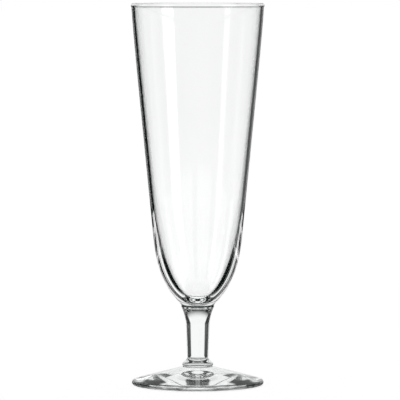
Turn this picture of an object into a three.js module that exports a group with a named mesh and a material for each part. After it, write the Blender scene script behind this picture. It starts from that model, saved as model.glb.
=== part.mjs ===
// Footed beer glass: a tall tapered bowl on a short stem, with a rounded knop above a conical foot.
// Four pieces of clear glass, fused face to face on one axis.
// Millimetres, +Z up. The origin is on the axis, in the plane that the glass stands on.
import * as THREE from 'three';

const degrees = THREE.MathUtils.degToRad;

// Foot
const footRadius = 36.3;
const footHeight = 9.8; // standing plane up to the seat of the knop
const footEdgeRadius = 1.3; // rounding of the outer edge
const standingRingWidth = 3; // flat ring that touches the table
const undersideRise = 1.8; // hollow under the middle of the foot

// Knop, the collar between foot and stem
const knopHeight = 5.1;
const knopSeatRadius = 8.2; // where it is fused to the foot
const knopRadius = 8.6; // at its widest
const knopWidestHeight = 0.7;
const knopTopAngle = degrees(35); // lean of its shoulder at the crease, from upright

// Stem
const stemHeight = 28.7;
const neckRadius = 5.75; // crease where stem and knop are fused
const stemFootRadius = 5.85; // just above the crease
const stemTopRadius = 6.5; // just under the flare
const flareHeight = 10.4; // trumpet shape under the bowl
const flareAngle = degrees(26); // lean of the flare at the seam, from upright

// Bowl
const bowlHeight = 166.4; // seam with the stem up to the rim
const joinRadius = 9.1; // where bowl and stem are fused
const baseRadius = 10.2; // where the belly starts to swell
const baseHeight = 2;
const baseAngle = degrees(45.6); // lean of the belly there, from upright
const bellyRadius = 24.45; // where the belly runs out into the wall
const bellyHeight = 38.4;
const wallAngle = degrees(5.6); // taper of the wall, from upright
const rimAngle = degrees(2.6); // taper just under the rim
const rimRadius = 36.7; // outside of the rounded rim
const rimSwell = 0.15; // how far the rim stands proud of the wall on each side
const wallThickness = 1.7; // under the rim
const shoulderThickness = 1.8; // where the inside starts to round in
const shoulderHeight = 57.6;
const floorThickness = 3.6; // glass under the middle of the inside

// All pieces
const seamRound = 0.25; // rounding of the edges along the fused seams
const bodySegments = 56; // facets round the bowl and the foot
const stemSegments = 36; // facets round the stem and the knop

// Reach of the free curves' handles, as shares of the height or width that each curve spans
const undersideReach = [0.5, 0.2];
const knopReach = [0.4, 0.35];
const flareReach = [0.35, 0.22];
const bellyReach = [0.24, 0.43];
const wallReach = [0.63, 0.1];
const insideReach = [0.78, 0.34];

// Each profile is drawn as radius and height, from the axis at the bottom round to the axis at the top.

function point(radius, height) {
  return new THREE.Vector2(radius, height);
}

// Point at a given rise from another one, along a line that leans out by an angle from upright
function lean(from, rise, angle) {
  return point(from.x + rise * Math.tan(angle), from.y + rise);
}

function curveTo(path, handleA, handleB, end) {
  path.bezierCurveTo(handleA.x, handleA.y, handleB.x, handleB.y, end.x, end.y);
}

function sampled(path, curveSteps, arcSteps) {
  const steps = (curve) => (curve.isLineCurve ? 1 : curve.isEllipseCurve ? arcSteps : curveSteps);
  return path.curves.flatMap((curve) => curve.getPoints(steps(curve)));
}

// Flat joining face at the bottom of a piece, from the axis out to its rounded edge
function lowerSeam(path, radius) {
  path.moveTo(0, 0);
  path.lineTo(radius - seamRound, 0);
  path.absarc(radius - seamRound, seamRound, seamRound, -Math.PI / 2, 0);
}

// Rounded edge and flat joining face at the top of a piece, in to the axis
function upperSeam(path, radius, height) {
  path.absarc(radius - seamRound, height - seamRound, seamRound, 0, Math.PI / 2);
  path.lineTo(0, height);
}

function footProfile() {
  const ringOuter = footRadius - footEdgeRadius;
  const ringInner = ringOuter - standingRingWidth;
  // The top is a cone from the knop's seat, tangent to the round of the edge
  const run = ringOuter - knopSeatRadius;
  const rise = footHeight - footEdgeRadius;
  const coneAngle = Math.atan2(rise, run) - Math.asin(footEdgeRadius / Math.hypot(run, rise));
  const path = new THREE.Path();
  path.moveTo(0, undersideRise);
  const hollow = point(ringInner * undersideReach[0], undersideRise);
  curveTo(path, hollow, point(ringInner * (1 - undersideReach[1]), 0), point(ringInner, 0));
  path.lineTo(ringOuter, 0);
  path.absarc(ringOuter, footEdgeRadius, footEdgeRadius, -Math.PI / 2, Math.PI / 2 - coneAngle);
  path.lineTo(knopSeatRadius, footHeight);
  path.lineTo(0, footHeight);
  return sampled(path, 6, 8);
}

function knopProfile() {
  const widest = point(knopRadius, knopWidestHeight);
  const neck = point(neckRadius, knopHeight - seamRound);
  const rise = neck.y - widest.y;
  const path = new THREE.Path();
  lowerSeam(path, knopSeatRadius);
  path.quadraticCurveTo(knopRadius, seamRound, widest.x, widest.y);
  const swell = lean(widest, rise * knopReach[0], 0);
  curveTo(path, swell, lean(neck, -rise * knopReach[1], -knopTopAngle), neck);
  upperSeam(path, neckRadius, knopHeight);
  return sampled(path, 7, 2);
}

function stemProfile() {
  const foot = point(stemFootRadius, 2 * seamRound);
  const flare = point(stemTopRadius, stemHeight - flareHeight);
  const join = point(joinRadius, stemHeight - seamRound);
  const shaftAngle = Math.atan2(flare.x - foot.x, flare.y - foot.y);
  const path = new THREE.Path();
  lowerSeam(path, neckRadius);
  path.lineTo(foot.x, foot.y);
  path.lineTo(flare.x, flare.y);
  const spread = lean(flare, flareHeight * flareReach[0], shaftAngle);
  curveTo(path, spread, lean(join, -flareHeight * flareReach[1], flareAngle), join);
  upperSeam(path, joinRadius, stemHeight);
  return sampled(path, 8, 2);
}

// Outside of the bowl, from the seam up to the foot of the rounded rim
function bowlOutside(rimFoot) {
  const base = point(baseRadius, baseHeight);
  const belly = point(bellyRadius, bellyHeight);
  const bellyRise = belly.y - base.y;
  const wallRise = rimFoot.y - belly.y;
  const path = new THREE.Path();
  lowerSeam(path, joinRadius);
  path.lineTo(base.x, base.y);
  const swell = lean(base, bellyRise * bellyReach[0], baseAngle);
  curveTo(path, swell, lean(belly, -bellyRise * bellyReach[1], wallAngle), belly);
  const taper = lean(belly, wallRise * wallReach[0], wallAngle);
  curveTo(path, taper, lean(rimFoot, -wallRise * wallReach[1], rimAngle), rimFoot);
  return sampled(path, 10, 2);
}

// Inside of the bowl, from the foot of the rim down to the middle of the floor
function bowlInside(rimFoot) {
  const outerRadius = lean(point(bellyRadius, bellyHeight), shoulderHeight - bellyHeight, wallAngle).x;
  const shoulder = point(outerRadius - shoulderThickness, shoulderHeight);
  const wallRise = rimFoot.y - shoulder.y;
  const floorRise = shoulder.y - floorThickness;
  const path = new THREE.Path();
  path.moveTo(rimFoot.x, rimFoot.y);
  const upright = lean(rimFoot, -wallRise * wallReach[1], rimAngle);
  curveTo(path, upright, lean(shoulder, wallRise * wallReach[0], wallAngle), shoulder);
  const rounding = lean(shoulder, -floorRise * insideReach[0], wallAngle);
  const middle = point(shoulder.x * insideReach[1], floorThickness);
  curveTo(path, rounding, middle, point(0, floorThickness));
  return sampled(path, 11, 2);
}

function bowlProfile() {
  const beadRadius = wallThickness / 2 + rimSwell;
  const bead = point(rimRadius - beadRadius, bowlHeight - beadRadius);
  const beadAngle = Math.acos(wallThickness / 2 / beadRadius);
  const rimFootHeight = bead.y - beadRadius * Math.sin(beadAngle);
  const rim = new THREE.Path();
  rim.absarc(bead.x, bead.y, beadRadius, -beadAngle, Math.PI + beadAngle);
  return [
    ...bowlOutside(point(bead.x + wallThickness / 2, rimFootHeight)),
    ...sampled(rim, 1, 8),
    ...bowlInside(point(bead.x - wallThickness / 2, rimFootHeight)),
  ];
}

// Curves that meet share an end point, which the profile keeps once
function withoutRepeats(points) {
  const least = 1e-6;
  return points.filter((here, i) => i === 0 || here.distanceTo(points[i - 1]) > least);
}

function turned(name, profile, segments, standsAt, tint) {
  const geometry = new THREE.LatheGeometry(withoutRepeats(profile), segments);
  geometry.rotateX(Math.PI / 2);
  const glass = new THREE.MeshStandardMaterial({
    color: tint, roughness: 0.03, metalness: 0, transparent: true, opacity: 0.3,
  });
  const mesh = new THREE.Mesh(geometry, glass);
  mesh.name = name;
  mesh.position.z = standsAt;
  return mesh;
}

const knopStandsAt = footHeight;
const stemStandsAt = knopStandsAt + knopHeight;
const bowlStandsAt = stemStandsAt + stemHeight;

const beerGlass = new THREE.Group();
beerGlass.add(
  turned('foot', footProfile(), bodySegments, 0, '#dfe8e6'),
  turned('knop', knopProfile(), stemSegments, knopStandsAt, '#e3ebe9'),
  turned('stem', stemProfile(), stemSegments, stemStandsAt, '#e6edeb'),
  turned('bowl', bowlProfile(), bodySegments, bowlStandsAt, '#f1f5f4'),
);

export default beerGlass;
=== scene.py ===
# Footed beer glass: bowl, stem, knop and foot, each turned from its own profile
import math

import bpy
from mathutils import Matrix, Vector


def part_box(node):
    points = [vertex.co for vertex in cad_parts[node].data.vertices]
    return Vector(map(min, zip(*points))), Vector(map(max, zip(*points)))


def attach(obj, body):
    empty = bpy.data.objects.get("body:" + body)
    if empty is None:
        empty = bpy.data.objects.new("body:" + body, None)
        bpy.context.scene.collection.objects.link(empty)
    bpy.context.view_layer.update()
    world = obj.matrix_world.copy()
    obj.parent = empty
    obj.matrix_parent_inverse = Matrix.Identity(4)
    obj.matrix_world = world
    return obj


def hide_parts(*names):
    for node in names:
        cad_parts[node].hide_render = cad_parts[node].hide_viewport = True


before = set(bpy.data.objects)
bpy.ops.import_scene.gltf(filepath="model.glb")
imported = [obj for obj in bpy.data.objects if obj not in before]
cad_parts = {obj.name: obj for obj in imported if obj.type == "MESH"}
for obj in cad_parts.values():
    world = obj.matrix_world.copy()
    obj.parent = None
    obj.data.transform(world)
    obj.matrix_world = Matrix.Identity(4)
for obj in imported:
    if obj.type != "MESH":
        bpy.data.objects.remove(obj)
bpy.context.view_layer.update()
scene = bpy.context.scene
scene.view_settings.view_transform = "Standard"
print("frame loaded:", sorted(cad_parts))

mm = 0.001  # the glass is written in millimetres, the studio in metres and degrees


# A profile is a list of (radius, height) points, from the axis at the bottom to the axis at the top

def lean(point, rise, angle):
    return (point[0] + rise * math.tan(angle), point[1] + rise)


def straight(start, end, steps):
    return [
        (start[0] + (end[0] - start[0]) * i / steps, start[1] + (end[1] - start[1]) * i / steps)
        for i in range(steps + 1)
    ]


def curve(start, handleA, handleB, end, steps):
    points = []
    for i in range(steps + 1):
        t = i / steps
        weights = ((1 - t) ** 3, 3 * t * (1 - t) ** 2, 3 * t * t * (1 - t), t ** 3)
        corners = (start, handleA, handleB, end)
        points.append(tuple(sum(w * c[k] for w, c in zip(weights, corners)) for k in (0, 1)))
    return points


def arc(centre, radius, fromAngle, toAngle, steps):
    points = []
    for i in range(steps + 1):
        angle = fromAngle + (toAngle - fromAngle) * i / steps
        points.append((centre[0] + radius * math.cos(angle), centre[1] + radius * math.sin(angle)))
    return points


# Stretches that meet share an end point, which the profile keeps once
def joined(*stretches):
    least = 1e-4
    points = []
    for stretch in stretches:
        for point in stretch:
            if not points or math.dist(point, points[-1]) > least:
                points.append(point)
    return points


# Flat joining faces with a small round at their edge, as on the fused seams
seam = {"round": 0.45, "roundSteps": 5, "faceSteps": 6}


def lowerSeam(radius):
    inner = radius - seam["round"]
    face = straight((0, 0), (inner, 0), seam["faceSteps"])
    return face + arc((inner, seam["round"]), seam["round"], -math.pi / 2, 0, seam["roundSteps"])


def upperSeam(radius, height):
    inner = radius - seam["round"]
    edge = arc((inner, height - seam["round"]), seam["round"], 0, math.pi / 2, seam["roundSteps"])
    return edge + straight((inner, height), (0, height), seam["faceSteps"])


turning = {"mergeWithin": 0.002 * mm, "smoothTo": math.radians(28)}


def turned(name, profile, steps, standsAt):
    bpy.ops.object.select_all(action="DESELECT")
    bpy.ops.mesh.primitive_plane_add(size=mm, location=(0, 0, 0))
    piece = bpy.context.object
    piece.name = name
    piece.data.name = name
    bpy.ops.object.mode_set(mode="EDIT")
    bpy.ops.mesh.select_all(action="SELECT")
    bpy.ops.mesh.merge(type="CENTER")
    bpy.ops.transform.translate(value=(profile[0][0] * mm, 0, standsAt + profile[0][1] * mm))
    for here, there in zip(profile, profile[1:]):  # draw the profile, point by point
        step = ((there[0] - here[0]) * mm, 0, (there[1] - here[1]) * mm)
        bpy.ops.mesh.extrude_region_move(TRANSFORM_OT_translate={"value": step})
    bpy.ops.mesh.select_all(action="SELECT")
    bpy.ops.mesh.spin(steps=steps, angle=2 * math.pi, center=(0, 0, 0), axis=(0, 0, 1))
    bpy.ops.mesh.select_all(action="SELECT")
    bpy.ops.mesh.remove_doubles(threshold=turning["mergeWithin"])
    bpy.ops.mesh.normals_make_consistent(inside=False)
    bpy.ops.object.mode_set(mode="OBJECT")
    bpy.ops.object.shade_smooth_by_angle(angle=turning["smoothTo"])
    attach(piece, "root")
    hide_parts(name.split("_")[1])
    print(name, len(piece.data.vertices), "points,", len(piece.data.polygons), "faces")
    return piece


# Arithmetic in a node tree: each value is a number or another node's output
def calc(tree, operation, a, b=0.0):
    node = tree.nodes.new("ShaderNodeMath")
    node.operation = operation
    for socket, value in zip(node.inputs, (a, b)):
        if isinstance(value, (int, float)):
            socket.default_value = value
        else:
            tree.links.new(value, socket)
    return node.outputs[0]


def times(tree, *values):
    result = values[0]
    for value in values[1:]:
        result = calc(tree, "MULTIPLY", result, value)
    return result


def most(tree, *values):
    result = values[0]
    for value in values[1:]:
        result = calc(tree, "MAXIMUM", result, value)
    return result


# Smooth step from one level to another while the value goes from low to high
def ramp(tree, value, low, high, atLow=0.0, atHigh=1.0):
    node = tree.nodes.new("ShaderNodeMapRange")
    node.interpolation_type = "SMOOTHSTEP"
    for socket, number in zip(("From Min", "From Max", "To Min", "To Max"), (low, high, atLow, atHigh)):
        node.inputs[socket].default_value = number
    tree.links.new(value, node.inputs["Value"])
    return node.outputs["Result"]


def past(tree, value, at, soft):
    return ramp(tree, value, at - soft, at + soft)


def below(tree, value, at, soft):
    return ramp(tree, value, at - soft, at + soft, 1.0, 0.0)


def between(tree, value, low, high, soft):
    return times(tree, past(tree, value, low, soft), below(tree, value, high, soft))


glassLook = {
    "ior": 1.52, "rippleDetail": 1, "rippleHeight": 0.2 * mm,
    "hazeScale": 90, "hazeDetail": 4, "hazeLow": 0.35, "hazeHigh": 0.75, "clearest": 0.004, "haziest": 0.022,
}
# The fused seams are real, but their near-black line is painted shade: its half width, soft edge and colour
seamShadeLine = {"half": 0.55 * mm, "soft": 0.08 * mm, "tint": (0.006, 0.01, 0.009, 1)}


# Clear glass: its tint, the faint waves in its surface, and painted shade along the fused seams, a fine
# near-black line at each that stands in for the shade its groove shows, each as a height and how strongly it
# shows
def clearGlass(name, look, seamShadeLines):
    g = glassLook
    tint = (*look["tint"], 1)
    material = bpy.data.materials.new(name)
    material.use_nodes = True
    tree = material.node_tree
    nodes = tree.nodes
    links = tree.links
    shader = nodes["Principled BSDF"]
    shader.inputs["Transmission Weight"].default_value = 1
    shader.inputs["IOR"].default_value = g["ior"]
    place = nodes.new("ShaderNodeTexCoord")
    shader.inputs["Base Color"].default_value = tint
    if seamShadeLines:
        parts = nodes.new("ShaderNodeSeparateXYZ")
        links.new(place.outputs["Object"], parts.inputs["Vector"])
        lines = []
        # each fused seam gets a band of painted shade, as dark as its share
        for height, share in seamShadeLines:
            offset = calc(tree, "ABSOLUTE", calc(tree, "SUBTRACT", parts.outputs["Z"], height))
            lines.append(times(tree, below(tree, offset, seamShadeLine["half"], seamShadeLine["soft"]), share))
        colour = nodes.new("ShaderNodeMix")
        colour.data_type = "RGBA"
        # this node's sockets share names, so they go by number: 0 the mix, 6 and 7 its colours, 2 the result
        colour.inputs[6].default_value = tint
        colour.inputs[7].default_value = seamShadeLine["tint"]
        links.new(most(tree, *lines), colour.inputs[0])
        links.new(colour.outputs[2], shader.inputs["Base Color"])
    ripple = nodes.new("ShaderNodeTexNoise")
    ripple.inputs["Scale"].default_value = look["rippleScale"]
    ripple.inputs["Detail"].default_value = g["rippleDetail"]
    links.new(place.outputs["Object"], ripple.inputs["Vector"])
    bump = nodes.new("ShaderNodeBump")
    bump.inputs["Strength"].default_value = look["rippleStrength"]
    bump.inputs["Distance"].default_value = g["rippleHeight"]
    links.new(ripple.outputs["Fac"], bump.inputs["Height"])
    links.new(bump.outputs["Normal"], shader.inputs["Normal"])
    haze = nodes.new("ShaderNodeTexNoise")
    haze.inputs["Scale"].default_value = g["hazeScale"]
    haze.inputs["Detail"].default_value = g["hazeDetail"]
    links.new(place.outputs["Object"], haze.inputs["Vector"])
    polish = nodes.new("ShaderNodeMapRange")
    polish.inputs["From Min"].default_value = g["hazeLow"]
    polish.inputs["From Max"].default_value = g["hazeHigh"]
    polish.inputs["To Min"].default_value = g["clearest"]
    polish.inputs["To Max"].default_value = g["haziest"]
    links.new(haze.outputs["Fac"], polish.inputs["Value"])
    links.new(polish.outputs["Result"], shader.inputs["Roughness"])
    return material


# Inside a fused seam there is no surface: light goes straight on
def fusedGlass():
    material = bpy.data.materials.new("fused seam")
    material.use_nodes = True
    shader = material.node_tree.nodes["Principled BSDF"]
    shader.inputs["Base Color"].default_value = (1, 1, 1, 1)
    shader.inputs["Transmission Weight"].default_value = 1
    shader.inputs["IOR"].default_value = 1
    shader.inputs["Roughness"].default_value = 0
    return material


# The flat faces that lie in a seam are fused
def finished(piece, glass, fused, seamHeights):
    flatFrom = 0.9999
    within = 0.01 * mm
    piece.data.materials.append(glass)
    piece.data.materials.append(fused)
    for face in piece.data.polygons:
        flat = abs(face.normal.z) > flatFrom
        if flat and any(abs(face.center.z - height) < within for height in seamHeights):
            face.material_index = 1


footShape = {
    "radius": 36.3, "height": 9.8, "edgeRadius": 1.3, "ringWidth": 3, "hollowRise": 1.8,
    "hollowReach": (0.5, 0.2), "seatRadius": 8.2, "steps": 224,
    "hollowSteps": 40, "ringSteps": 3, "edgeSteps": 20, "coneSteps": 30, "tint": (0.96, 0.985, 0.98),
    "rippleScale": 90, "rippleStrength": 0.03,
}


def footProfile():
    f = footShape
    ringOuter = f["radius"] - f["edgeRadius"]
    ringInner = ringOuter - f["ringWidth"]
    run = ringOuter - f["seatRadius"]
    rise = f["height"] - f["edgeRadius"]
    coneAngle = math.atan2(rise, run) - math.asin(f["edgeRadius"] / math.hypot(run, rise))
    hollow = curve(
        (0, f["hollowRise"]),
        (ringInner * f["hollowReach"][0], f["hollowRise"]),
        (ringInner * (1 - f["hollowReach"][1]), 0),
        (ringInner, 0),
        f["hollowSteps"],
    )
    ring = straight((ringInner, 0), (ringOuter, 0), f["ringSteps"])
    # the cone is tangent to the round of the edge
    middle = (ringOuter, f["edgeRadius"])
    edge = arc(middle, f["edgeRadius"], -math.pi / 2, math.pi / 2 - coneAngle, f["edgeSteps"])
    cone = straight(edge[-1], (f["seatRadius"], f["height"]), f["coneSteps"])
    seat = straight((f["seatRadius"], f["height"]), (0, f["height"]), seam["faceSteps"])
    return joined(hollow, ring, edge, cone, seat)


knopShape = {
    "height": 5.1, "seatRadius": 7.6, "radius": 8.6, "widestHeight": 1, "neckRadius": 5.75,
    "topAngle": math.radians(35), "reach": (0.4, 0.35), "steps": 144, "swellSteps": 6, "shoulderSteps": 28,
}


# Two thirds of the way to the corner of a rounding, where its handles lie
def towards(point, corner):
    return tuple(p + (c - p) * 2 / 3 for p, c in zip(point, corner))


def knopProfile():
    k = knopShape
    widest = (k["radius"], k["widestHeight"])
    neck = (k["neckRadius"], k["height"] - seam["round"])
    rise = neck[1] - widest[1]
    lower = lowerSeam(k["seatRadius"])
    start = lower[-1]
    corner = (k["radius"], seam["round"])
    swell = curve(start, towards(start, corner), towards(widest, corner), widest, k["swellSteps"])
    shoulder = curve(
        widest,
        lean(widest, rise * k["reach"][0], 0),
        lean(neck, -rise * k["reach"][1], -k["topAngle"]),
        neck,
        k["shoulderSteps"],
    )
    return joined(lower, swell, shoulder, upperSeam(k["neckRadius"], k["height"]))


stemShape = {
    "height": 28.7, "neckRadius": 5.75, "footRadius": 5.85, "topRadius": 6.5, "flareHeight": 10.4,
    "flareAngle": math.radians(26), "joinRadius": 9.1, "reach": (0.35, 0.22), "steps": 144,
    "creaseSteps": 2, "shaftSteps": 24, "flareSteps": 36, "tint": (0.97, 0.99, 0.985),
    "rippleScale": 120, "rippleStrength": 0.02,
}


def stemProfile():
    s = stemShape
    foot = (s["footRadius"], 2 * seam["round"])
    flare = (s["topRadius"], s["height"] - s["flareHeight"])
    join = (s["joinRadius"], s["height"] - seam["round"])
    shaftAngle = math.atan2(flare[0] - foot[0], flare[1] - foot[1])
    lower = lowerSeam(s["neckRadius"])
    shaft = straight(lower[-1], foot, s["creaseSteps"]) + straight(foot, flare, s["shaftSteps"])
    trumpet = curve(
        flare,
        lean(flare, s["flareHeight"] * s["reach"][0], shaftAngle),
        lean(join, -s["flareHeight"] * s["reach"][1], s["flareAngle"]),
        join,
        s["flareSteps"],
    )
    return joined(lower, shaft, trumpet, upperSeam(s["joinRadius"], s["height"]))


bowlShape = {
    "height": 166.4, "joinRadius": 9.1, "baseRadius": 10.2, "baseHeight": 2, "baseAngle": math.radians(45.6),
    "bellyRadius": 24.45, "bellyHeight": 38.4, "wallAngle": math.radians(5.6), "rimAngle": math.radians(2.6),
    "rimRadius": 36.7, "rimSwell": 0.4, "wallThickness": 1.7, "shoulderThickness": 1.95, "shoulderHeight": 61,
    "floorThickness": 3.6, "bellyReach": (0.24, 0.43), "wallReach": (0.63, 0.1), "insideReach": (0.82, 0.28),
    "steps": 256, "baseSteps": 4, "bellySteps": 44, "wallSteps": 36, "rimSteps": 24, "insideSteps": 30,
    "basinSteps": 60, "tint": (0.99, 0.995, 0.993), "rippleScale": 60, "rippleStrength": 0.02,
}


def bowlProfile():
    b = bowlShape
    half = b["wallThickness"] / 2
    beadRadius = half + b["rimSwell"]
    bead = (b["rimRadius"] - beadRadius, b["height"] - beadRadius)
    beadAngle = math.acos(half / beadRadius)
    rimFootHeight = bead[1] - beadRadius * math.sin(beadAngle)
    outerFoot = (bead[0] + half, rimFootHeight)
    innerFoot = (bead[0] - half, rimFootHeight)
    base = (b["baseRadius"], b["baseHeight"])
    belly = (b["bellyRadius"], b["bellyHeight"])
    bellyRise = belly[1] - base[1]
    wallRise = rimFootHeight - belly[1]
    lower = lowerSeam(b["joinRadius"])
    outside = curve(
        base,
        lean(base, bellyRise * b["bellyReach"][0], b["baseAngle"]),
        lean(belly, -bellyRise * b["bellyReach"][1], b["wallAngle"]),
        belly,
        b["bellySteps"],
    )
    wall = curve(
        belly,
        lean(belly, wallRise * b["wallReach"][0], b["wallAngle"]),
        lean(outerFoot, -wallRise * b["wallReach"][1], b["rimAngle"]),
        outerFoot,
        b["wallSteps"],
    )
    rim = arc(bead, beadRadius, -beadAngle, math.pi + beadAngle, b["rimSteps"])
    outerRadius = lean(belly, b["shoulderHeight"] - b["bellyHeight"], b["wallAngle"])[0]
    shoulder = (outerRadius - b["shoulderThickness"], b["shoulderHeight"])
    insideRise = rimFootHeight - shoulder[1]
    floorRise = shoulder[1] - b["floorThickness"]
    inside = curve(
        innerFoot,
        lean(innerFoot, -insideRise * b["wallReach"][1], b["rimAngle"]),
        lean(shoulder, insideRise * b["wallReach"][0], b["wallAngle"]),
        shoulder,
        b["insideSteps"],
    )
    basin = curve(
        shoulder,
        lean(shoulder, -floorRise * b["insideReach"][0], b["wallAngle"]),
        (shoulder[0] * b["insideReach"][1], b["floorThickness"]),
        (0, b["floorThickness"]),
        b["basinSteps"],
    )
    return joined(lower, straight(lower[-1], base, b["baseSteps"]), outside, wall, rim, inside, basin)


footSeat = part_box("foot")[0].z
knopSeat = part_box("knop")[0].z
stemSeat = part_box("stem")[0].z
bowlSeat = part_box("bowl")[0].z

foot = turned("glass_foot", footProfile(), footShape["steps"], footSeat)
knop = turned("glass_knop", knopProfile(), knopShape["steps"], knopSeat)
stem = turned("glass_stem", stemProfile(), stemShape["steps"], stemSeat)
bowl = turned("glass_bowl", bowlProfile(), bowlShape["steps"], bowlSeat)

fused = fusedGlass()
seams = (knopSeat, stemSeat, bowlSeat)
# how dark the painted shade is at each fused seam
seamShadeShares = {"knop": 0.6, "stem": 0.35, "bowl": 1.0}
bowlSeamShade = (bowlSeat, seamShadeShares["bowl"])
stemSeamShades = ((knopSeat, seamShadeShares["knop"]), (stemSeat, seamShadeShares["stem"]), bowlSeamShade)
bowlGlass = clearGlass("blown bowl glass", bowlShape, (bowlSeamShade,))
stemGlass = clearGlass("pressed stem glass", stemShape, stemSeamShades)  # the knop's too
footGlass = clearGlass("pressed foot glass", footShape, ())
finished(foot, footGlass, fused, seams)
finished(knop, stemGlass, fused, seams)
finished(stem, stemGlass, fused, seams)
finished(bowl, bowlGlass, fused, seams)
print("glass finished")

# The studio is set up round the line of sight, which this turns about the upright axis
studioTurn = math.radians(-150)


def inStudio(side, back, up):
    c = math.cos(studioTurn)
    s = math.sin(studioTurn)
    return (side * c - back * s, side * s + back * c, up)


# Camera, as the photo was taken: far off, a little above the rim
cameraShape = {
    "away": 1.9, "height": 0.22, "pitch": 3.56, "sensor": 36, "lens": 311.4, "shiftX": 2.3 / 400,
    "clipStart": 0.01, "clipEnd": 100,
}
cameraData = bpy.data.cameras.new("camera")
cameraData.sensor_width = cameraShape["sensor"]
cameraData.lens = cameraShape["lens"]
cameraData.shift_x = cameraShape["shiftX"]
cameraData.clip_start = cameraShape["clipStart"]
cameraData.clip_end = cameraShape["clipEnd"]
camera = bpy.data.objects.new("camera", cameraData)
camera.location = inStudio(0, -cameraShape["away"], cameraShape["height"])
camera.rotation_euler = (math.radians(90 - cameraShape["pitch"]), 0, studioTurn)
scene.collection.objects.link(camera)
scene.camera = camera
print("camera set")


# How a ray left the glass: mirrored off it, bent by a solid piece, turned back inside it once or many times.
# The counts lie halfway between whole numbers: turns inside the glass, and surfaces passed
rayCounts = {"turned": 0.5, "turnedTwice": 1.5, "passedMost": 3.5}


def rayWays(tree):
    r = rayCounts
    path = tree.nodes.new("ShaderNodeLightPath")
    through = path.outputs["Is Transmission Ray"]
    mirrored = calc(tree, "SUBTRACT", path.outputs["Is Reflection Ray"], path.outputs["Is Diffuse Ray"])
    turns = path.outputs["Glossy Depth"]
    back = times(tree, calc(tree, "GREATER_THAN", turns, r["turned"]), through)
    few = calc(tree, "LESS_THAN", path.outputs["Transmission Depth"], r["passedMost"])
    many = times(tree, calc(tree, "GREATER_THAN", turns, r["turnedTwice"]), through)
    return {
        "camera": path.outputs["Is Camera Ray"],
        "through": through,
        "mirrored": mirrored,
        "glass": most(tree, through, mirrored),
        "once": calc(tree, "SUBTRACT", back, many),
        "many": many,
        "bent": times(tree, calc(tree, "SUBTRACT", through, back), few),
    }


# Places in the studio: to the side, back, up and out from the origin, and the angle from straight back
# in degrees, with its sign as swing, where the right is above 0
def placeParts(tree, output):
    coordinates = tree.nodes.new("ShaderNodeTexCoord")
    rotated = tree.nodes.new("ShaderNodeVectorRotate")
    rotated.rotation_type = "Z_AXIS"
    rotated.inputs["Angle"].default_value = -studioTurn
    tree.links.new(coordinates.outputs[output], rotated.inputs["Vector"])
    parts = tree.nodes.new("ShaderNodeSeparateXYZ")
    tree.links.new(rotated.outputs["Vector"], parts.inputs["Vector"])
    reach = tree.nodes.new("ShaderNodeVectorMath")
    reach.operation = "LENGTH"
    tree.links.new(coordinates.outputs[output], reach.inputs[0])
    back = parts.outputs["Y"]
    swing = calc(tree, "DEGREES", calc(tree, "ARCTAN2", parts.outputs["X"], back))
    return {
        "side": calc(tree, "ABSOLUTE", parts.outputs["X"]), "back": back, "up": parts.outputs["Z"],
        "out": reach.outputs["Value"], "swing": swing, "angle": calc(tree, "ABSOLUTE", swing),
    }


# Cards that stand round the glass further off, for its edges in other views: one every so many degrees
ringShape = {
    "from": 66, "every": 45, "first": 7.5, "half": 6, "soft": 2, "near": 0.05, "nearSoft": 0.003,
    "bentNear": 0.2, "bentSoft": 0.03, "onceTop": 0.07, "onceSoft": 0.02,
}


def ringCards(tree, at):
    r = ringShape
    step = calc(tree, "PINGPONG", calc(tree, "SUBTRACT", at["swing"], r["first"]), r["every"] / 2)
    return times(tree, below(tree, step, r["half"], r["soft"]), past(tree, at["angle"], r["from"], r["soft"]))


# Cards either side of the backdrop, on the floor and up the wall, which darken the edges of the solid pieces
cardShape = {"inner": 27, "outer": 60, "soft": 2.5, "rise": 40, "near": 0.12, "nearSoft": 0.02, "top": 0.7}

# Floor: white all over, and what the edges of the glass see of it is a white sheet between black cards
floorShape = {
    "radius": 30, "corners": 96, "drop": 0.0001, "paint": 0.8, "glow": 0.79,
    "cardColour": (0.016, 0.026, 0.024, 1),
    "throughGlow": 0.87, "fadeNear": 1.5, "fadeFar": 4.0, "fade": 0.03, "backSoft": 0.1, "sideSoft": 5,
}

# What the floor shows to each kind of ray, where soft is half the width of an edge
mirrorFloor = {
    "sheetHalf": 0.022, "sheetSpread": 0.53, "sheetBend": 0.57, "sheetFarSpread": 0.2, "sheetSoft": 0.012,
    "cardHalf": 0.17, "cardSpread": 0.9, "cardSoft": 0.02, "cardNear": -0.02,
    "level": 0.6, "near": 0.45, "far": 0.7, "front": 0.35,
}
# For rays turned back once: the dark under the foot and in the wedge close behind it is a painted shadow of
# the glass
onceFloor = {
    "half": 0.012, "spread": (0.7, 0.55), "soft": 0.012, "end": 80, "endSoft": 5,  # spread left and right
    "wedgeSpread": 0.46, "stripSpread": 0.27, "wedgeSoft": 0.006, "wedgeEnd": 0.215, "wedgeEndSoft": 0.015,
    "far": 0.5, "farSoft": 0.03, "shadowUnderFoot": 0.045, "footSoft": 0.004,
    "paleFrom": 0.2, "paleSoft": 0.02, "paleRight": 0.1,
}
manyFloor = {
    "inner": 0.03, "edge": 0.045, "edgeMid": 0.037, "outSoft": 0.001, "insideBack": 25, "insideFront": 105,
    "insideSoft": 3, "edgeInner": 16, "edgeOuter": 80, "edgeSoft": 2, "edgeSide": 0.5, "edgeHalf": 4,
    "edgeHalfSoft": 0.5, "edgeLevel": 0.03, "behindNear": 0.07, "behindNearSoft": 0.01, "behindHalf": 12,
    "behindHalfSoft": 2,
}
bentFloor = {"card": 0.94, "dim": 0.07}

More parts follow.
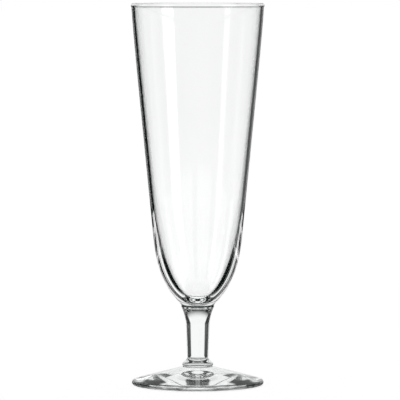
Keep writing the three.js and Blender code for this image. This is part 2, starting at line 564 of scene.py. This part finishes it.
bpy.ops.object.select_all(action="DESELECT")
bpy.ops.mesh.primitive_circle_add(
    vertices=floorShape["corners"],
    radius=floorShape["radius"],
    fill_type="NGON",
    location=(0, 0, -floorShape["drop"]),
)
floor = bpy.context.object
floor.name = "floor"


def beyond(tree, at, spread):
    return calc(tree, "SUBTRACT", at["side"], times(tree, at["back"], spread))


# Mirrored at the edges: dark cards beside a white sheet, which widens fast at first and then slowly,
# and dark far off
def mirrorDark(tree, at, behind):
    m = mirrorFloor
    nearEdge = times(tree, calc(tree, "MINIMUM", at["back"], m["sheetBend"]), m["sheetSpread"])
    pastBend = most(tree, calc(tree, "SUBTRACT", at["back"], m["sheetBend"]), 0.0)
    sheetEdge = calc(tree, "ADD", nearEdge, times(tree, pastBend, m["sheetFarSpread"]))
    pastSheet = past(tree, calc(tree, "SUBTRACT", at["side"], sheetEdge), m["sheetHalf"], m["sheetSoft"])
    onCard = below(tree, beyond(tree, at, m["cardSpread"]), m["cardHalf"], m["cardSoft"])
    card = times(tree, pastSheet, onCard, calc(tree, "GREATER_THAN", at["back"], m["cardNear"]))
    farDark = ramp(tree, at["out"], m["near"], m["far"], 1 - m["level"], 1.0)
    frontDark = times(tree, calc(tree, "SUBTRACT", 1.0, behind), 1 - m["front"])
    return most(tree, card, times(tree, farDark, behind), frontDark)


# Turned back once in the wall of the bowl: dark beside a white sheet and far off, with a painted shadow of
# the glass under the foot and close behind it, and paler on the right
def onceDark(tree, at, behind):
    o = onceFloor
    side = floorShape["sideSoft"]
    spread = ramp(tree, at["swing"], -side, side, *o["spread"])
    pastSheet = past(tree, beyond(tree, at, spread), o["half"], o["soft"])
    # painted shadow of the glass on the floor close behind it
    shadowWedge = times(
        tree,
        below(tree, beyond(tree, at, o["wedgeSpread"]), 0.0, o["wedgeSoft"]),
        below(tree, at["out"], o["wedgeEnd"], o["wedgeEndSoft"]),
    )
    strip = below(tree, beyond(tree, at, o["stripSpread"]), 0.0, o["wedgeSoft"])
    dark = most(
        tree,
        times(tree, pastSheet, below(tree, at["angle"], o["end"], o["endSoft"])),
        times(tree, shadowWedge, behind),
        times(tree, strip, past(tree, at["out"], o["wedgeEnd"], o["wedgeEndSoft"]), behind),
        past(tree, at["out"], o["far"], o["farSoft"]),
        # painted shadow of the glass on the floor under the foot
        below(tree, at["out"], o["shadowUnderFoot"], o["footSoft"]),
    )
    onRight = past(tree, at["swing"], 0.0, side)
    paler = times(tree, onRight, past(tree, at["out"], o["paleFrom"], o["paleSoft"]), o["paleRight"])
    return times(tree, dark, calc(tree, "SUBTRACT", 1.0, paler))


# Turned back many times: only the floor right under the foot and a strip behind it are bright
def manyDark(tree, at):
    m = manyFloor
    atBack = below(tree, at["angle"], m["insideBack"], m["insideSoft"])
    inFront = past(tree, at["angle"], m["insideFront"], m["insideSoft"])
    inside = times(tree, below(tree, at["out"], m["inner"], m["outSoft"]), most(tree, atBack, inFront))
    sides = between(tree, at["angle"], m["edgeInner"], m["edgeOuter"], m["edgeSoft"])
    middle = times(
        tree,
        below(tree, at["angle"], m["edgeHalf"], m["edgeHalfSoft"]),
        past(tree, at["out"], m["edgeMid"], m["outSoft"]),
    )
    edge = most(tree, times(tree, sides, m["edgeSide"]), middle, m["edgeLevel"])
    underEdge = times(tree, below(tree, at["out"], m["edge"], m["outSoft"]), edge)
    stripBehind = times(
        tree,
        past(tree, at["out"], m["behindNear"], m["behindNearSoft"]),
        below(tree, at["angle"], m["behindHalf"], m["behindHalfSoft"]),
    )
    return calc(tree, "SUBTRACT", 1.0, most(tree, inside, underEdge, stripBehind))


# Bent by the solid pieces: the cards either side and the ring further round
def bentDark(tree, at):
    c = cardShape
    ring = past(tree, at["out"], ringShape["bentNear"], ringShape["bentSoft"])
    card = times(
        tree,
        between(tree, at["angle"], c["inner"], c["outer"], c["soft"]),
        past(tree, at["out"], c["near"], c["nearSoft"]),
    )
    cards = most(tree, card, times(tree, ringCards(tree, at), ring))
    return most(tree, times(tree, cards, bentFloor["card"]), bentFloor["dim"])


def nearRing(tree, at):
    return times(tree, ringCards(tree, at), past(tree, at["out"], ringShape["near"], ringShape["nearSoft"]))


def floorPaint():
    f = floorShape
    material = bpy.data.materials.new("pale floor")
    material.use_nodes = True
    tree = material.node_tree
    shader = tree.nodes["Principled BSDF"]
    shader.inputs["Base Color"].default_value = (f["paint"], f["paint"], f["paint"], 1)
    shader.inputs["Roughness"].default_value = 1
    shader.inputs["Specular IOR Level"].default_value = 0
    shader.inputs["Emission Color"].default_value = (1, 1, 1, 1)
    ways = rayWays(tree)
    at = placeParts(tree, "Object")
    behind = past(tree, at["back"], 0.0, f["backSoft"])
    dark = most(
        tree,
        times(tree, mirrorDark(tree, at, behind), ways["mirrored"]),
        times(tree, onceDark(tree, at, behind), ways["once"]),
        times(tree, manyDark(tree, at), ways["many"]),
        times(tree, bentDark(tree, at), ways["bent"]),
        times(tree, nearRing(tree, at), ways["once"]),
    )
    faded = f["throughGlow"] - f["fade"]
    seenThrough = ramp(tree, at["out"], f["fadeNear"], f["fadeFar"], f["throughGlow"], faded)
    glow = most(tree, times(tree, ways["camera"], f["glow"]), times(tree, ways["glass"], seenThrough))
    tree.links.new(glow, shader.inputs["Emission Strength"])
    black = tree.nodes.new("ShaderNodeBsdfDiffuse")
    black.inputs["Color"].default_value = f["cardColour"]
    mix = tree.nodes.new("ShaderNodeMixShader")
    tree.links.new(dark, mix.inputs["Fac"])
    tree.links.new(shader.outputs["BSDF"], mix.inputs[1])
    tree.links.new(black.outputs["BSDF"], mix.inputs[2])
    tree.links.new(mix.outputs[0], tree.nodes["Material Output"].inputs["Surface"])
    return material


floor.data.materials.append(floorPaint())

# World: white to the camera and straight through the glass, dim or carded where the glass mirrors or
# bends it. Heights are sines of the angle above the horizon.
worldShape = {
    "diffuse": 0.27, "card": 0.96, "brightTo": 0.15, "dimFrom": 0.45,
    "mirrored": 0.3, "mirrorFront": 0.25, "mirrorBend": 0.3, "mirrorLow": 0.7, "lowTo": 0.3, "lowSoft": 0.05,
    "lowHalf": 20, "lowHalfSoft": 4,
}
onceWorld = {
    "front": 0.3, "bend": 0.2, "high": 0.53, "highSoft": 0.04, "half": 12, "halfSoft": 2, "dim": 0.05,
}
manyWorld = {
    "patchHalf": 12, "patchHalfSoft": 1.5, "patchLow": 0.05, "patchHigh": 0.26, "patchSoft": 0.015,
    "sideInner": 41, "sideOuter": 80, "sideSoft": 2, "sideHigh": 0.53, "highSoft": 0.03,
    "farSide": 85, "farSoft": 5, "farLevel": 0.1, "front": 150,
    "gapTop": 0.17, "gapTopSoft": 0.02, "gapEnd": 140, "gapEndSoft": 3,
    "shelfLow": 0.53, "shelfHigh": 0.67, "dim": 0.02,
}


# Turned back once: dark high up and in front
def onceWorldDark(tree, at):
    o = onceWorld
    high = times(
        tree,
        past(tree, at["up"], o["high"], o["highSoft"]),
        past(tree, at["angle"], o["half"], o["halfSoft"]),
        1 - o["dim"],
    )
    return most(tree, high, ramp(tree, at["back"], -o["bend"], o["bend"], 1 - o["front"], 0.0))


# Turned back many times: dark straight behind, at the sides, in front and on a shelf higher up,
# with a gap low down
def manyWorldDark(tree, at):
    m = manyWorld
    patch = times(
        tree,
        below(tree, at["angle"], m["patchHalf"], m["patchHalfSoft"]),
        between(tree, at["up"], m["patchLow"], m["patchHigh"], m["patchSoft"]),
    )
    lowDown = below(tree, at["up"], m["sideHigh"], m["highSoft"])
    sides = times(tree, between(tree, at["angle"], m["sideInner"], m["sideOuter"], m["sideSoft"]), lowDown)
    gap = times(
        tree,
        below(tree, at["up"], m["gapTop"], m["gapTopSoft"]),
        below(tree, at["angle"], m["gapEnd"], m["gapEndSoft"]),
    )
    farSides = times(
        tree,
        past(tree, at["angle"], m["farSide"], m["farSoft"]),
        calc(tree, "SUBTRACT", 1.0, gap),
        1 - m["farLevel"],
    )
    front = times(tree, past(tree, at["angle"], m["front"], m["farSoft"]), lowDown)
    shelf = between(tree, at["up"], m["shelfLow"], m["shelfHigh"], m["highSoft"])
    return times(tree, most(tree, patch, sides, farSides, front, shelf), 1 - m["dim"])


def studioWorld():
    w = worldShape
    c = cardShape
    world = bpy.data.worlds.new("studio")
    world.use_nodes = True
    tree = world.node_tree
    background = tree.nodes["Background"]
    background.inputs["Color"].default_value = (1, 1, 1, 1)
    ways = rayWays(tree)
    at = placeParts(tree, "Generated")
    angle = calc(tree, "SUBTRACT", at["angle"], times(tree, at["up"], c["rise"]))
    card = times(
        tree,
        between(tree, angle, c["inner"], c["outer"], c["soft"]),
        calc(tree, "LESS_THAN", at["up"], c["top"]),
        w["card"],
    )
    high = ramp(tree, at["up"], w["brightTo"], w["dimFrom"])
    ring = ringCards(tree, at)
    lowRing = times(tree, ring, below(tree, at["up"], ringShape["onceTop"], ringShape["onceSoft"]))
    dark = most(
        tree,
        times(tree, card, most(tree, ways["bent"], ways["mirrored"])),
        times(tree, most(tree, ring, high), ways["bent"]),
        times(tree, most(tree, lowRing, onceWorldDark(tree, at)), ways["once"]),
        times(tree, manyWorldDark(tree, at), ways["many"]),
    )
    lowBack = times(
        tree,
        below(tree, at["up"], w["lowTo"], w["lowSoft"]),
        below(tree, at["angle"], w["lowHalf"], w["lowHalfSoft"]),
        w["mirrorLow"],
    )
    bend = w["mirrorBend"]
    mirrorLevel = most(tree, ramp(tree, at["back"], -bend, bend, w["mirrorFront"], w["mirrored"]), lowBack)
    mirrored = times(tree, ways["mirrored"], mirrorLevel)
    level = most(tree, ways["camera"], ways["through"], mirrored, w["diffuse"])
    level = times(tree, level, calc(tree, "SUBTRACT", 1.0, dark))
    tree.links.new(level, background.inputs["Strength"])
    return world


scene.world = studioWorld()

# Softboxes either side of the camera, which the glass mirrors as upright bands
softboxShape = {"away": 1.6, "lowest": 0.2, "highest": 1.2}
softboxes = {
    "softbox_left": {"fromAngle": -64, "toAngle": -52, "strength": 1.7},
    "softbox_right": {"fromAngle": 46, "toAngle": 71, "strength": 2.5},
}


def softbox(name, fromAngle, toAngle, strength):
    s = softboxShape
    middle = math.radians((fromAngle + toAngle) / 2)
    half = math.radians((toAngle - fromAngle) / 2)
    height = (s["lowest"] + s["highest"]) / 2
    bpy.ops.object.select_all(action="DESELECT")
    bpy.ops.mesh.primitive_plane_add(
        size=1,
        location=inStudio(s["away"] * math.sin(middle), -s["away"] * math.cos(middle), height),
        rotation=(math.pi / 2, 0, middle + studioTurn),
    )
    box = bpy.context.object
    box.name = name
    box.scale = (2 * s["away"] * math.tan(half), s["highest"] - s["lowest"], 1)
    box.visible_camera = False
    box.visible_diffuse = False
    box.visible_shadow = False
    material = bpy.data.materials.new(name)
    material.use_nodes = True
    shader = material.node_tree.nodes["Principled BSDF"]
    shader.inputs["Base Color"].default_value = (0, 0, 0, 1)
    shader.inputs["Emission Color"].default_value = (1, 1, 1, 1)
    shader.inputs["Emission Strength"].default_value = strength
    box.data.materials.append(material)


for name, values in softboxes.items():
    softbox(name, **values)
print("studio set")

# Light passes many surfaces of glass and turns back inside it
bounces = {"through": 32, "mirrored": 24}
scene.cycles.max_bounces = bounces["through"]
scene.cycles.transmission_bounces = bounces["through"]
scene.cycles.glossy_bounces = bounces["mirrored"]
scene.cycles.transparent_max_bounces = bounces["mirrored"]
